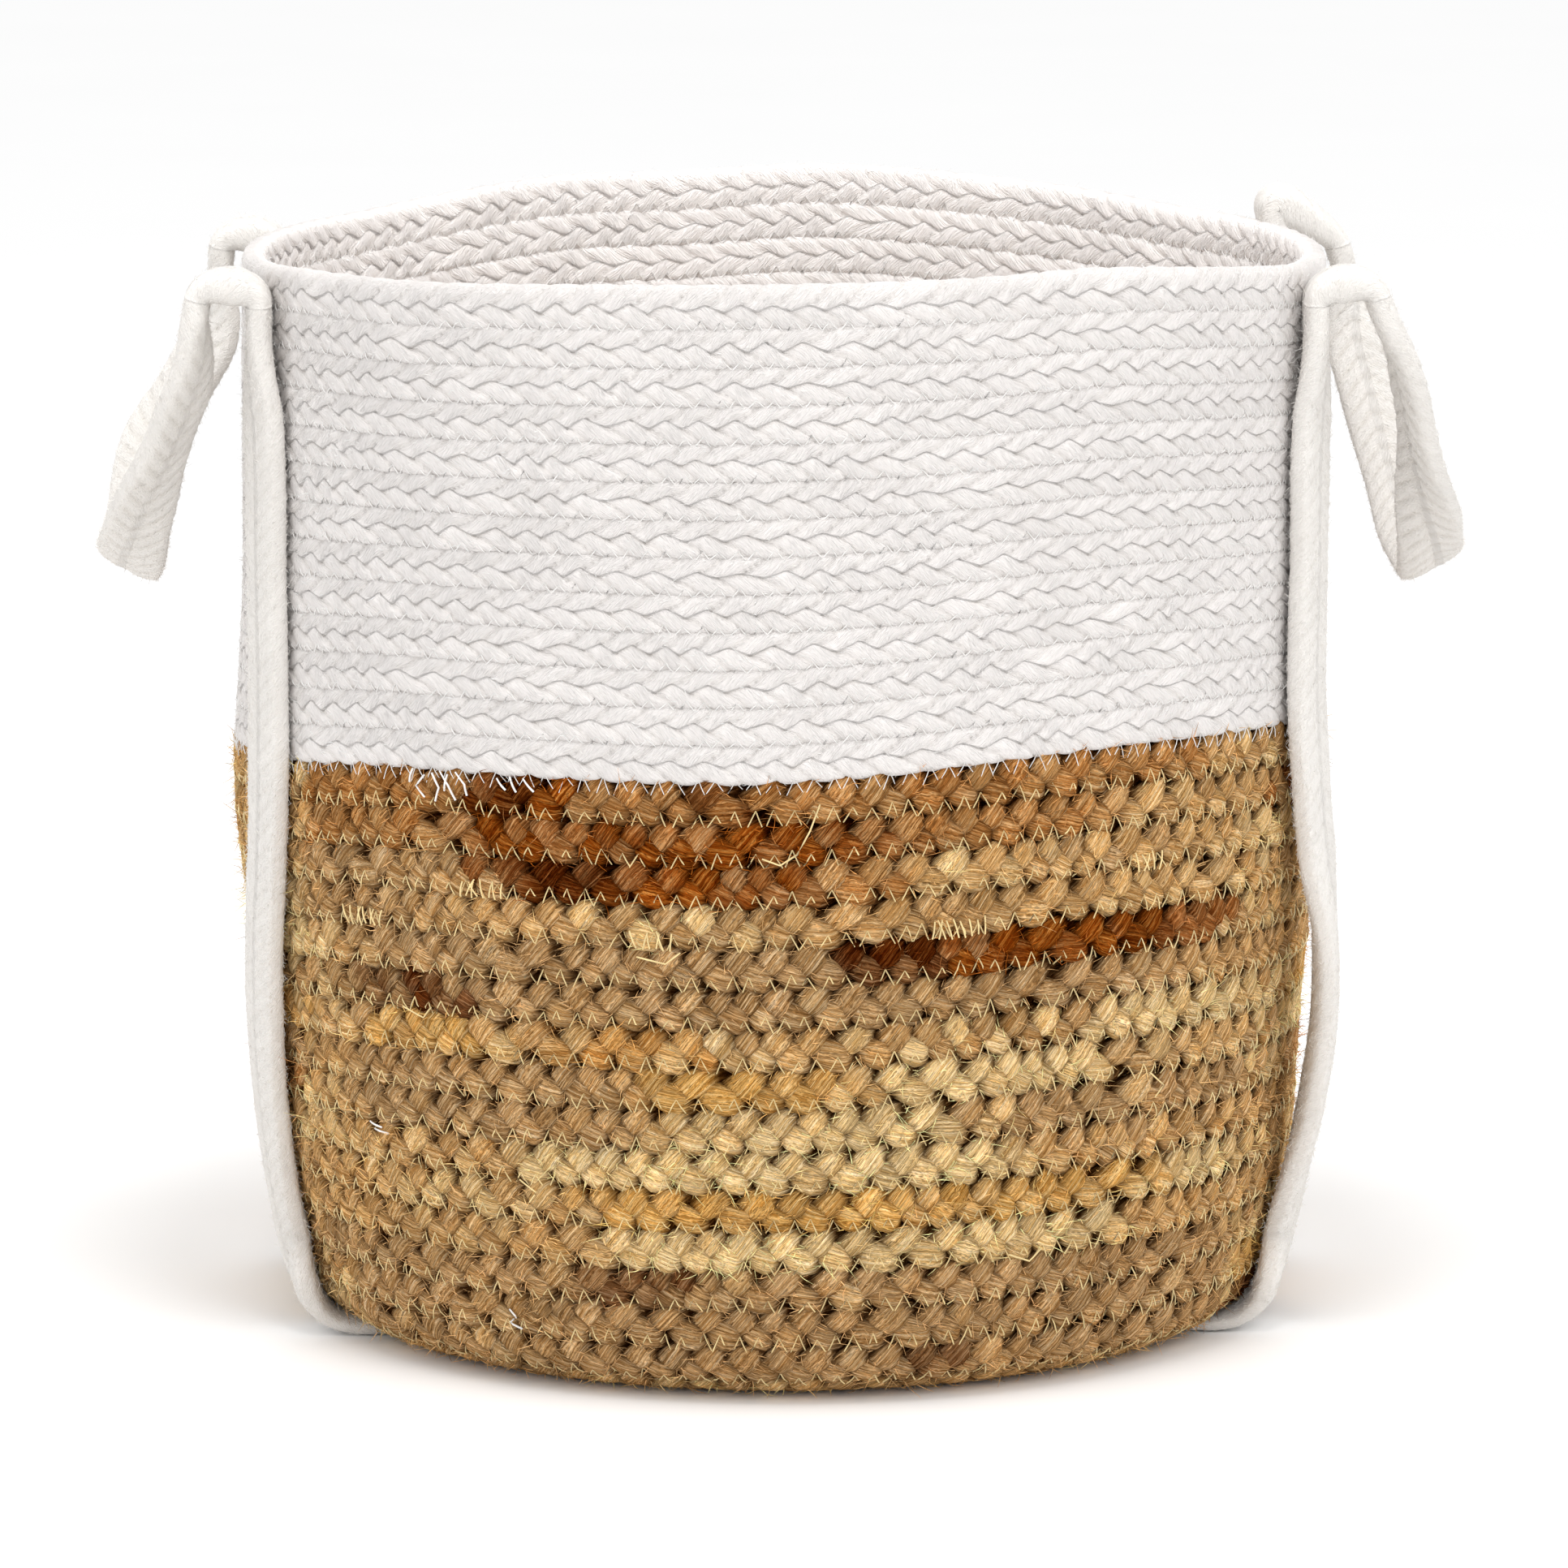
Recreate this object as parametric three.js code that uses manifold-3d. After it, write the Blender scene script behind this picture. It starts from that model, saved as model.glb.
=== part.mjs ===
// A soft round laundry basket sewn from flat three-strand braids. A jute base coil and sixteen jute
// courses carry thirteen white cotton courses. Two cotton straps run up each side: each one starts
// under the base, climbs the wall, folds over just below the rim and hangs outside as a handle loop.
// Millimetres, +Z up. The origin is on the floor under the centre of the base, +Y is the back,
// and the handles are at -X and +X.
import * as THREE from "three";
import { mergeVertices } from "three/addons/utils/BufferGeometryUtils.js";
import Module from "manifold-3d";

const wasm = await Module();
wasm.setup();

// Driving dimensions.
const JUTE_COURSES = 16;
const JUTE_PITCH = 14.5;
const COTTON_COURSES = 13;
const COTTON_PITCH = 13.5;
const BRAID_THICKNESS = 10;
const COURSE_GAP = 0.3; // free space between one course and the next
const SHOULDER = 0.55; // the braid's thickness at its two edges, as a share of the thickness in the middle
const FLATS = 28; // flat facets round each course
const BASE_RADIUS = 156;
const BASE_TURNS = 11; // turns of braid in the base coil
const BASE_GROOVE = 1.6; // depth between one turn and the next
const BASE_EDGE_ROOM = 0.8; // keeps the disc clear of the first course's leaning edge
const CORNER_RADIUS = 22; // from the base up into the wall
const FOOT_RADIUS = BASE_RADIUS + CORNER_RADIUS;
const WALL_RADIUS = 193.5; // to the middle of the braid, in the upper half
const SQUARENESS = 0.02; // how far the wall stands out between front and side, as a share of its radius
const SIDE_SAG = 12; // how much lower the courses hang at the two sides
const SAG_HEIGHT = 150; // the height at which the sag is complete
const STRAP_WIDTH = 24;
const STRAP_THICKNESS = 9;
const STRAP_PRESSED = 5.2; // the strap's thickness where the base lies on it
const STRAP_GAP = 0.8; // between a strap and the wall or base that it lies along
const STRAP_FOOT_Y = 62; // from the middle plane to each strap, under the base
const STRAP_RIM_Y = 85; // and from half-way up to the rim
const FOLD_HEIGHT = 380; // where the strap leaves the wall to fold over
const FOLD_RADIUS = 9; // to the middle of the folded strap
const FOLD_X = 201.4; // the centre of the fold, which is also the handle's pivot line
const PIECE_GAP = 0.3; // between two stretches of one strap
const HANG_ANGLE = THREE.MathUtils.degToRad(16); // how far a hanging handle leans away from the wall
const HANDLE_DROP = 110;
const EDGE_ON_FROM = 0.09; // the shares of a handle between which it turns edge on to the wall
const EDGE_ON_TO = 0.36;
// How far each strap bows off the lower wall.
const BOW = { left_front: 2, left_rear: 1.5, right_front: 6, right_rear: 2 };
const BOW_TOP = 240; // the height at which it lies against the wall again
const RUN_STEPS = 30;
const RUN_CROWDING = 1.4; // closer steps round the corner of the base
const FOLD_STEPS = 8;
const HANDLE_STEPS = 40;

const half = BRAID_THICKNESS / 2;
const cornerHeight = half + CORNER_RADIUS;
const wallLength = JUTE_COURSES * JUTE_PITCH + COTTON_COURSES * COTTON_PITCH;

// The middle of the braid in section: x is the distance from the basket's axis and y the height.
function wallProfile() {
  const profile = new THREE.CurvePath();
  const corner = [BASE_RADIUS, cornerHeight, CORNER_RADIUS, CORNER_RADIUS, -Math.PI / 2, 0];
  profile.add(new THREE.EllipseCurve(...corner));
  const spread = WALL_RADIUS - FOOT_RADIUS;
  const rise = wallLength - profile.getLength();
  // Each pair is a share of the rise and the share of the spread that is reached there.
  const shares = [[0, 0], [0.1, 0.42], [0.22, 0.72], [0.36, 0.92], [0.54, 1], [0.78, 1], [1.02, 0.98]];
  const points = shares.map(([up, out]) =>
    new THREE.Vector2(FOOT_RADIUS + spread * out, cornerHeight + rise * up));
  profile.add(new THREE.SplineCurve(points));
  return profile;
}

const profile = wallProfile();
const profileLength = profile.getLength();

function sagAt(height, angle) {
  return SIDE_SAG * THREE.MathUtils.smoothstep(height, 0, SAG_HEIGHT) * Math.cos(angle) ** 2;
}

// Moves a point of the round, level basket to where the slightly square and sagging one has it.
function settle(point) {
  const angle = Math.atan2(point.y, point.x);
  const radius = Math.hypot(point.x, point.y);
  const top = THREE.MathUtils.clamp(point.z / wallLength, 0, 1);
  const wide = radius * (1 + SQUARENESS * top * (1 - Math.cos(4 * angle)) / 2);
  return point.set(wide * Math.cos(angle), wide * Math.sin(angle), point.z - sagAt(point.z, angle));
}

// Runs each vertex of a geometry through a function that changes a point.
function reshape(geometry, change) {
  const position = geometry.getAttribute("position");
  const point = new THREE.Vector3();
  for (let i = 0; i < position.count; i++) {
    change(point.fromBufferAttribute(position, i));
    position.setXYZ(i, point.x, point.y, point.z);
  }
  geometry.computeVertexNormals();
  return geometry;
}

function toSolid(geometry) {
  const bare = geometry.clone();
  bare.deleteAttribute("normal");
  bare.deleteAttribute("uv");
  const merged = mergeVertices(bare, 1e-3);
  return new wasm.Manifold(new wasm.Mesh({
    numProp: 3,
    vertProperties: new Float32Array(merged.getAttribute("position").array),
    triVerts: new Uint32Array(merged.index.array),
  }));
}

function fromSolid(solid) {
  const { vertProperties, triVerts } = solid.getMesh();
  const geometry = new THREE.BufferGeometry();
  geometry.setAttribute("position", new THREE.BufferAttribute(vertProperties, 3));
  geometry.setIndex(new THREE.BufferAttribute(triVerts, 1));
  return geometry;
}

function cut(geometry, tools) {
  return fromSolid(tools.reduce((solid, tool) => solid.subtract(tool), toSolid(geometry)));
}

// A point at a length up the profile and at a distance outward from it.
function besideProfile(length, off) {
  const along = profile.getTangent(length / profileLength);
  const out = new THREE.Vector2(along.y, -along.x);
  return profile.getPoint(length / profileLength).addScaledVector(out, off);
}

// One turn of the flat braid: a ring whose section follows the wall.
function courseGeometry(bottom, pitch) {
  const low = bottom + COURSE_GAP / 2;
  const middle = bottom + pitch / 2;
  const high = bottom + pitch - COURSE_GAP / 2;
  const shoulder = half * SHOULDER;
  const section = [
    [low, -shoulder], [low, shoulder], [middle, half], [high, shoulder], [high, -shoulder], [middle, -half],
  ].map(([length, off]) => besideProfile(length, off));
  const ring = new THREE.LatheGeometry([...section, section[0]], FLATS).rotateX(Math.PI / 2);
  return reshape(ring, settle);
}

// The base: a disc with a flat underside and one ridge for each turn of the coil.
function baseGeometry() {
  const turn = (BASE_RADIUS - BASE_EDGE_ROOM) / BASE_TURNS;
  const outline = [new THREE.Vector2(0, 0), new THREE.Vector2(turn * BASE_TURNS, 0)];
  for (let i = BASE_TURNS; i > 0; i--) {
    outline.push(new THREE.Vector2(turn * i, BRAID_THICKNESS - BASE_GROOVE));
    outline.push(new THREE.Vector2(turn * (i - 0.5), BRAID_THICKNESS));
  }
  outline.push(new THREE.Vector2(0, BRAID_THICKNESS - BASE_GROOVE));
  return new THREE.LatheGeometry(outline, FLATS).rotateX(Math.PI / 2);
}

// A strap's section: flat faces with thinner edges. x runs across the strap and y through it.
function strapSection(grow) {
  const edge = STRAP_WIDTH / 2 + grow;
  const face = STRAP_WIDTH / 3 + grow;
  const thick = STRAP_THICKNESS / 2 + grow;
  const points = [[edge, 0], [face, thick], [-face, thick], [-edge, 0], [-face, -thick], [face, -thick]];
  return new THREE.Shape(points.map(([x, y]) => new THREE.Vector2(x, y)));
}

// Sweeps the section along a route. frameAt gives the middle, the outward normal and the tangent at a
// share of the route, and thicknessAt the share of the full thickness there.
function strapGeometry({ steps, frameAt, thicknessAt = () => 1, grow = 0 }) {
  const straight = new THREE.ExtrudeGeometry(strapSection(grow), { depth: 1, steps, bevelEnabled: false });
  return reshape(straight, (point) => {
    const { middle, normal, tangent } = frameAt(point.z);
    const across = new THREE.Vector3().crossVectors(normal, tangent).normalize();
    const thin = (Math.abs(point.y) - grow) * thicknessAt(point.z) + grow;
    const through = point.y === 0 ? 0 : Math.sign(point.y) * thin;
    const shift = across.multiplyScalar(point.x).addScaledVector(normal, through);
    return point.copy(middle).add(shift);
  });
}

// Makes a frame from a route and a first guess of the outward normal.
function frameOn(route, share, outward) {
  const tangent = route.getTangentAt(share);
  const normal = outward.clone().addScaledVector(tangent, -outward.dot(tangent)).normalize();
  return { middle: route.getPointAt(share), normal, tangent };
}

// The middle of a strap that lies against the wall at a height, on the left side, at -Y.
function strapOnWall(height, standOff) {
  const up = THREE.MathUtils.smoothstep(height, 20, 220);
  const y = THREE.MathUtils.lerp(STRAP_FOOT_Y, STRAP_RIM_Y, up);
  const angle = Math.PI + Math.asin(y / (WALL_RADIUS + BRAID_THICKNESS));
  const level = height + sagAt(height, angle);
  const share = (level - cornerHeight + Math.PI / 2 * CORNER_RADIUS) / profileLength;
  const radius = profile.getPoint(share).x + half + STRAP_GAP + STRAP_THICKNESS / 2 + standOff;
  return settle(new THREE.Vector3(radius * Math.cos(angle), radius * Math.sin(angle), level)).setZ(height);
}

// Up the side of the basket, from the edge of the base to the fold below the rim.
function strapRunGeometry(bow, grow = 0) {
  const floorZ = STRAP_PRESSED / 2;
  const foldInnerX = -(FOLD_X - FOLD_RADIUS);
  // Each triple is a distance from the middle plane at x = 0, one from y = 0, and a height.
  const low = [
    [150, STRAP_FOOT_Y, floorZ], [158.5, STRAP_FOOT_Y, floorZ + 0.1], [167, STRAP_FOOT_Y, 5.4],
    [173.4, STRAP_FOOT_Y, 11.5], [177.2, STRAP_FOOT_Y, 20.5],
  ].map(([x, y, z]) => new THREE.Vector3(-x, -y, z));
  const wall = [36, 60, 85, 115, 150, 190, 240, 290, 330].map((height) => {
    const share = THREE.MathUtils.clamp((height - cornerHeight) / (BOW_TOP - cornerHeight), 0, 1);
    return strapOnWall(height, bow * Math.sin(Math.PI * share) ** 2);
  });
  const high = [FOLD_HEIGHT - 22, FOLD_HEIGHT - PIECE_GAP]
    .map((height) => new THREE.Vector3(foldInnerX, -STRAP_RIM_Y, height));
  const route = new THREE.CatmullRomCurve3([...low, ...wall, ...high]);
  const shareAt = (step) => step ** RUN_CROWDING;
  const frameAt = (step) => {
    const share = shareAt(step);
    const middle = route.getPointAt(share);
    const tangent = route.getTangentAt(share);
    const flat = new THREE.Vector3(-tangent.z, 0, tangent.x);
    const radial = new THREE.Vector3(middle.x, middle.y, 0).normalize();
    const leaving = 1 - THREE.MathUtils.smoothstep(middle.z, FOLD_HEIGHT - 80, FOLD_HEIGHT - 15);
    const turned = THREE.MathUtils.smoothstep(middle.z, 5, 45) * leaving;
    return frameOn(route, share, flat.lerp(radial, turned));
  };
  const thicknessAt = (step) => {
    const freed = THREE.MathUtils.smoothstep(route.getPointAt(shareAt(step)).z, floorZ, 16);
    return THREE.MathUtils.lerp(STRAP_PRESSED / STRAP_THICKNESS, 1, freed);
  };
  return strapGeometry({ steps: RUN_STEPS, frameAt, thicknessAt, grow });
}

// Straight across under the base, pressed thin.
function underStrapGeometry(grow = 0) {
  const reach = 150 - PIECE_GAP;
  const frameAt = (share) => ({
    middle: new THREE.Vector3(reach - 2 * reach * share, -STRAP_FOOT_Y, STRAP_PRESSED / 2),
    normal: new THREE.Vector3(0, 0, -1),
    tangent: new THREE.Vector3(-1, 0, 0),
  });
  return strapGeometry({ steps: 1, frameAt, thicknessAt: () => STRAP_PRESSED / STRAP_THICKNESS, grow });
}

// The bend in which a strap folds over, away from the wall, until it hangs as the handle does.
function foldGeometry() {
  const frameAt = (share) => {
    const angle = (Math.PI - HANG_ANGLE) * share;
    const normal = new THREE.Vector3(Math.cos(angle), 0, Math.sin(angle));
    const middle = normal.clone().multiplyScalar(FOLD_RADIUS);
    middle.add(new THREE.Vector3(-FOLD_X, -STRAP_RIM_Y, FOLD_HEIGHT));
    return { middle, normal, tangent: new THREE.Vector3(-Math.sin(angle), 0, Math.cos(angle)) };
  };
  return strapGeometry({ steps: FOLD_STEPS, frameAt });
}

// The handle: down from the front fold, round a narrow turn and up to the rear fold. On the way down
// the strap turns edge on to the wall, and on the way up it turns back.
function handleGeometry() {
  const away = new THREE.Vector3(-Math.sin(HANG_ANGLE), 0, -Math.cos(HANG_ANGLE));
  const outward = new THREE.Vector3(-Math.cos(HANG_ANGLE), 0, Math.sin(HANG_ANGLE));
  const start = new THREE.Vector3(-FOLD_X, 0, FOLD_HEIGHT)
    .addScaledVector(outward, FOLD_RADIUS).addScaledVector(away, PIECE_GAP);
  // Each pair is a share of the drop and a share of the spread of the two legs.
  const shares = [
    [0, 1], [0.08, 1], [0.2, 0.97], [0.32, 0.92], [0.48, 0.83], [0.64, 0.71], [0.8, 0.54], [0.94, 0.29],
  ];
  const leg = shares.map(([down, wide]) => start.clone()
    .addScaledVector(away, HANDLE_DROP * down).setY(-STRAP_RIM_Y * wide));
  const turn = start.clone().addScaledVector(away, HANDLE_DROP);
  const back = leg.map((point) => point.clone().setY(-point.y)).reverse();
  const route = new THREE.CatmullRomCurve3([...leg, turn, ...back]);
  const frameAt = (share) => {
    const fromEnd = Math.min(share, 1 - share);
    const twist = Math.PI / 2 * THREE.MathUtils.smoothstep(fromEnd, EDGE_ON_FROM, EDGE_ON_TO);
    const tangent = route.getTangentAt(share);
    const inPlane = new THREE.Vector3().crossVectors(tangent, outward).normalize();
    const facing = outward.clone().multiplyScalar(Math.cos(twist)).addScaledVector(inPlane, Math.sin(twist));
    return frameOn(route, share, facing);
  };
  return strapGeometry({ steps: HANDLE_STEPS, frameAt });
}

const jute = new THREE.MeshStandardMaterial({ color: 0xb08a58, roughness: 0.9, metalness: 0 });
const cotton = new THREE.MeshStandardMaterial({ color: 0xefece7, roughness: 0.95, metalness: 0 });

function part(name, geometry, material) {
  const mesh = new THREE.Mesh(geometry, material);
  mesh.name = name;
  return mesh;
}

function mirrored(scaleX, scaleY, ...meshes) {
  const group = new THREE.Group();
  group.scale.set(scaleX, scaleY, 1);
  group.add(...meshes);
  return group;
}

const SIDES = { left: 1, right: -1 };
const ENDS = { front: 1, rear: -1 };
const basket = new THREE.Group();

// The straps come first, because the base and the lowest courses have notches for them.
const strapRoom = [];
const room = STRAP_GAP / 2;
for (const [end, scaleY] of Object.entries(ENDS)) {
  basket.add(mirrored(1, scaleY, part(`under_strap_${end}`, underStrapGeometry(), cotton)));
  strapRoom.push(toSolid(underStrapGeometry(room)).scale([1, scaleY, 1]));
  for (const [side, scaleX] of Object.entries(SIDES)) {
    const place = `${side}_${end}`;
    const run = part(`wall_strap_${place}`, strapRunGeometry(BOW[place]), cotton);
    const fold = part(`strap_fold_${place}`, foldGeometry(), cotton);
    basket.add(mirrored(scaleX, scaleY, run, fold));
    strapRoom.push(toSolid(strapRunGeometry(BOW[place], room)).scale([scaleX, scaleY, 1]));
  }
}
for (const [side, scaleX] of Object.entries(SIDES)) {
  basket.add(mirrored(scaleX, 1, part(`handle_${side}`, handleGeometry(), cotton)));
}

basket.add(part("base_coil", cut(baseGeometry(), strapRoom), jute));
const NOTCHED_COURSES = 3;
const twoDigits = (number) => String(number).padStart(2, "0");
let bottom = 0;
for (let i = 1; i <= JUTE_COURSES; i++) {
  const ring = courseGeometry(bottom, JUTE_PITCH);
  const shape = i <= NOTCHED_COURSES ? cut(ring, strapRoom) : ring;
  basket.add(part(`jute_course_${twoDigits(i)}`, shape, jute));
  bottom += JUTE_PITCH;
}
for (let i = 1; i <= COTTON_COURSES; i++) {
  const ring = courseGeometry(bottom, COTTON_PITCH);
  basket.add(part(`cotton_course_${twoDigits(i)}`, ring, cotton));
  bottom += COTTON_PITCH;
}

export default basket;
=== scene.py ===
"""A soft laundry basket sewn from flat braids: jute below, white cotton above, with two strap handles.

A jute course is three real strands, and a cotton course is one body with its braid as relief. Both are
laid along the same section as the CAD courses. Zigzag thread holds them together, and loose fibres stand
off them. The straps are one long flat braid, split where the CAD splits it. Lengths are in millimetres
up to make_piece, which turns them into metres.
"""
import math

import bpy
import numpy as np
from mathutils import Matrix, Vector
from mathutils.bvhtree import BVHTree


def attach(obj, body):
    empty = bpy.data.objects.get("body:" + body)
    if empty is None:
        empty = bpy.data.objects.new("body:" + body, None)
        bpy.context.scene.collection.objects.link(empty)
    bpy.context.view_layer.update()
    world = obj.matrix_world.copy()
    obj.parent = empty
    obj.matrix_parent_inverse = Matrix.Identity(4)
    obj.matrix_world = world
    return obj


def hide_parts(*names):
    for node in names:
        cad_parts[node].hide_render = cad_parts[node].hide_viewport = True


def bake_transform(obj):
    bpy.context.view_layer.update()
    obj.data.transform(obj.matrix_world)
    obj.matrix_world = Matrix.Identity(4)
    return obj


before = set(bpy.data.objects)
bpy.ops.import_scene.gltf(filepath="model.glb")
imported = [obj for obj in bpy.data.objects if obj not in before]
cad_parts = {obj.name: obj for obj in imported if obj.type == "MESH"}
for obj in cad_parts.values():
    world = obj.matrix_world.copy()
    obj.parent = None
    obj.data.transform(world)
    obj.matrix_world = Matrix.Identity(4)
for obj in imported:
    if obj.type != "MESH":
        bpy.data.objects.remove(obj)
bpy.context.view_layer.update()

# The basket's driving dimensions, as in the CAD but for the bow of the right front strap, 6 there.
JUTE_COURSES = 16
JUTE_PITCH = 14.5
COTTON_COURSES = 13
COTTON_PITCH = 13.5
BRAID_THICKNESS = 10.0
BASE_RADIUS = 156.0
BASE_TURNS = 11
CORNER_RADIUS = 22.0
WALL_RADIUS = 193.5
WALL_LENGTH = JUTE_COURSES * JUTE_PITCH + COTTON_COURSES * COTTON_PITCH
SQUARENESS = 0.02
SIDE_SAG = 12.0
SAG_HEIGHT = 150.0
STRAP_WIDTH = 24.0
STRAP_THICKNESS = 9.0
STRAP_PRESSED = 5.2
STRAP_GAP = 0.8
STRAP_FOOT_Y = 62.0
STRAP_RIM_Y = 85.0
FOLD_HEIGHT = 380.0
FOLD_RADIUS = 9.0
FOLD_X = 201.4
HANG_ANGLE = math.radians(16)
HANDLE_DROP = 110.0
BOW = {"left_front": 2.0, "left_rear": 1.5, "right_front": 8.0, "right_rear": 2.0}

HALF = BRAID_THICKNESS / 2
SOFT_DEPTH = 11.0  # how high up the braid a strap below it is felt
CORNER_HEIGHT = HALF + CORNER_RADIUS
FOOT_RADIUS = BASE_RADIUS + CORNER_RADIUS
FRONT = -math.pi / 2  # the angle round the basket of its front

# The jute braid: the length in which a strand goes across and back, half its width and depth, and how far
# it swings across and out. The strands are pressed flat at a lap past half the pitch, over the last edge,
# and at the crown, over the last yield. crevice is how far out of the wall's middle their painted shade ends.
JUTE = {"period": 38.0, "width": 4.7, "depth": 2.9, "swing": 4.8, "cross": 2.2, "crown": 5.2, "yield": 1.8,
        "lap": 2.0, "edge": 2.7, "crevice": (2.3, 4.7), "fullness": (0.75, 0.7), "samples": 18, "sides": 12}
# The cotton braid: the leaves' length and slope, how far the line in which they meet swerves, the lap over
# the next course, and the section's half thickness and squareness. groove, tilt, centre and rough are the
# relief's depths, stretch is how uneven the leaves' length is, inner_painted_light is painted light that
# brightens the inside face, where less light falls, and columns are the points' places across half a face.
COTTON = {"length": 12.7, "slope": 1.0, "zigzag": 1.0, "lap": 0.9, "crown": 4.6, "square": 8, "groove": 0.7,
          "tilt": 0.4, "centre": 0.4, "centre_width": 0.6, "rough": 0.35, "stretch": 0.3, "inner_painted_light": 0.32,
          "samples": 14, "columns": (0, 0.1, 0.25, 0.42, 0.6, 0.76, 0.88, 0.95)}
RIM_COURSE = dict(COTTON, square=4, lap=1.7)  # the free edge is rounder and reaches further

# How far the soft wall rises or sinks at the rim and where the colour changes: degrees from the front
# towards the right, and millimetres up.
RIM_LIFT = [
    (-180, 1.8), (-170, -1.0), (-155, -0.3), (-127, -8.5), (-100, -9), (-78, -10), (-58, -6), (-38, -4.6),
    (-20, -1.9), (0, -0.4), (20, 0.4), (32, 2.2), (43, -0.7), (56, -5), (70, -9), (95, -9), (130, -8.2),
    (145, -3.9), (158, -0.9), (172, 2.2)]
CHANGE_LIFT = [
    (-180, 2), (-135, -3), (-90, -13), (-61, -6), (-45, 0.3), (-23, 2.4), (-5, 2), (10, 5), (23, 8.6),
    (37, 10), (59, 7), (90, -4), (135, -3)]
CHANGE_HEIGHT = 224.0
RIM_HEIGHT = 399.0
# Where the wall bulges on the left and is hollow on the right: how far, and at what height.
LEFT_BULGE, BULGE_HEIGHT = 5.0, 208
RIGHT_HOLLOW, HOLLOW_HEIGHT = 3.0, 118
BULGE_REACH = 50


def smoothstep(x, low, high):
    t = np.clip((np.asarray(x, float) - low) / (high - low), 0, 1)
    return t * t * (3 - 2 * t)


def unit(v):
    return v / np.linalg.norm(v, axis=-1, keepdims=True)


def fraction(x):
    return x - np.floor(x)


def scattered(x):
    """A number from 0 to 1 that jumps about as x changes."""
    return fraction(np.sin(x) * 43758.5453)


def lengths_along(line):
    """The length of a line of points up to each of them."""
    return np.concatenate([[0], np.cumsum(np.linalg.norm(np.diff(line, axis=0), axis=1))])


# Painted shade: darkens a tone towards tone times dark, by share.
def shaded(tone, dark, share):
    return tone * (1 - share) + tone * dark * share


def round_turn(count):
    """Evenly spaced angles round a section."""
    return np.linspace(0, 2 * math.pi, count, endpoint=False)


def srgb(*levels):
    """Display levels from 0 to 255 as linear colour."""
    c = np.array(levels, float) / 255
    return np.where(c <= 0.04045, c / 12.92, ((c + 0.055) / 1.055) ** 2.4)


def loop_noise(turn, cells, seed):
    """Smooth noise from -1 to 1 along a closed loop. turn counts round the loop from 0 to 1."""
    table = np.random.default_rng(seed).uniform(-1, 1, cells)
    x = np.asarray(turn) * cells
    i = np.floor(x).astype(int)
    f = x - i
    f = f * f * (3 - 2 * f)
    return table[i % cells] * (1 - f) + table[(i + 1) % cells] * f


# ---- the basket's form

def spline_points(points, per_span, power):
    """A Catmull-Rom curve through points. power 0 spaces it evenly and 0.5 is centripetal."""
    p = np.array(points, float)
    p = np.vstack([2 * p[0] - p[1], p, 2 * p[-1] - p[-2]])
    out = []
    t = np.linspace(0, 1, per_span, endpoint=False)[:, None]
    for a, b, c, d in zip(p, p[1:], p[2:], p[3:]):
        before, here, after = (np.linalg.norm(y - x) ** power for x, y in ((a, b), (b, c), (c, d)))
        at_b = ((b - a) / before - (c - a) / (before + here) + (c - b) / here) * here
        at_c = ((c - b) / here - (d - b) / (here + after) + (d - c) / after) * here
        out.append(b + at_b * t + (3 * (c - b) - 2 * at_b - at_c) * t**2
                   + (2 * (b - c) + at_b + at_c) * t**3)
    return np.vstack(out + [p[-2:-1]])


def wall_section():
    """The middle of the braid in section, from the axis along the base and up the wall."""
    base = np.column_stack([np.linspace(0, BASE_RADIUS, 80, endpoint=False), np.full(80, HALF)])
    bend = np.linspace(0, math.pi / 2, 60, endpoint=False)
    corner = np.column_stack([BASE_RADIUS + CORNER_RADIUS * np.sin(bend),
                              CORNER_HEIGHT - CORNER_RADIUS * np.cos(bend)])
    rise = WALL_LENGTH - CORNER_RADIUS * math.pi / 2
    spread = WALL_RADIUS - FOOT_RADIUS
    shares = [(0, 0), (0.1, 0.42), (0.22, 0.72), (0.36, 0.92), (0.54, 1), (0.78, 1), (1.02, 0.98)]
    knots = [(FOOT_RADIUS + spread * out, CORNER_HEIGHT + rise * up) for up, out in shares]
    line = np.vstack([base, corner, spline_points(knots, 60, 0)])
    tangent = unit(np.gradient(line, axis=0))
    return lengths_along(line) - BASE_RADIUS, line, np.column_stack([tangent[:, 1], -tangent[:, 0]])


SECTION_LENGTH, SECTION_LINE, SECTION_OUT = wall_section()


def along_section(length):
    """Radius, height and the outward direction at a length up the wall from the edge of the base."""
    return [np.interp(length, SECTION_LENGTH, column) for column in (*SECTION_LINE.T, *SECTION_OUT.T)]


def reach_at(length):
    """The distance round the basket at a length up its section."""
    return 2 * math.pi * float(along_section(length)[0])


def sag_at(height, angle):
    return SIDE_SAG * smoothstep(height, 0, SAG_HEIGHT) * np.cos(angle) ** 2


def lift_table(points):
    """The lift for every degree from -180, with the corners between the given points smoothed away."""
    degrees = np.arange(-180, 180)
    lift = np.interp(degrees, *zip(*points), period=360)
    window = np.exp(-((np.arange(-15, 16) / 5.0) ** 2))
    return np.convolve(np.concatenate([lift[-15:], lift, lift[:15]]), window / window.sum(), "valid")


RIM_TABLE = lift_table(RIM_LIFT)
CHANGE_TABLE = lift_table(CHANGE_LIFT)


def lift_at(angle, height):
    at_change, at_rim = (np.interp(np.degrees(angle - FRONT), np.arange(-180, 180), table, period=360)
                         for table in (CHANGE_TABLE, RIM_TABLE))
    low = at_change * smoothstep(height, -20, CHANGE_HEIGHT + 20)
    share = smoothstep(height, CHANGE_HEIGHT - 10, RIM_HEIGHT)
    return low * (1 - share) + at_rim * share


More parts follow.
